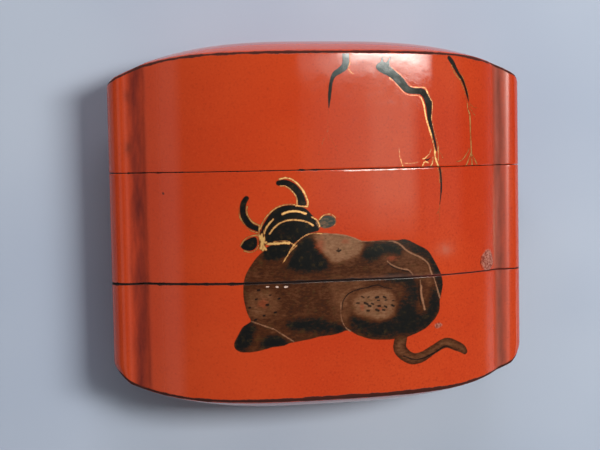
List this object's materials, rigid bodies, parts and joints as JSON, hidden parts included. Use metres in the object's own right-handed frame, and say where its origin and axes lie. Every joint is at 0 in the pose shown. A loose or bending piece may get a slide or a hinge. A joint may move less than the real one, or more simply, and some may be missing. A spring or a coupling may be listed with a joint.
{
  "type": "inro case",
  "caption": "Low, wide lacquered inro: a lens-section case of stacked compartments under a lift-off lid, with a cord channel down each side, lying on its back.",
  "frame": {"origin": "middle of the closed case's outline on the surface it lies on, under its back panel", "axes": "+X across the width towards the right side as the front is seen, +Y towards the lid, +Z out of the painted front panel"},
  "size_m": [0.072, 0.062, 0.021],
  "materials": {
    "red_lacquer": "gloss vermilion lacquer over thin wood, worn black along the edges, with a black, brown and gold painted ox and willow branches"
  },
  "bodies": {
    "root": {"lid": "red_lacquer", "middle_case": "red_lacquer", "bottom_case": "red_lacquer"}
  },
  "joints": []
}
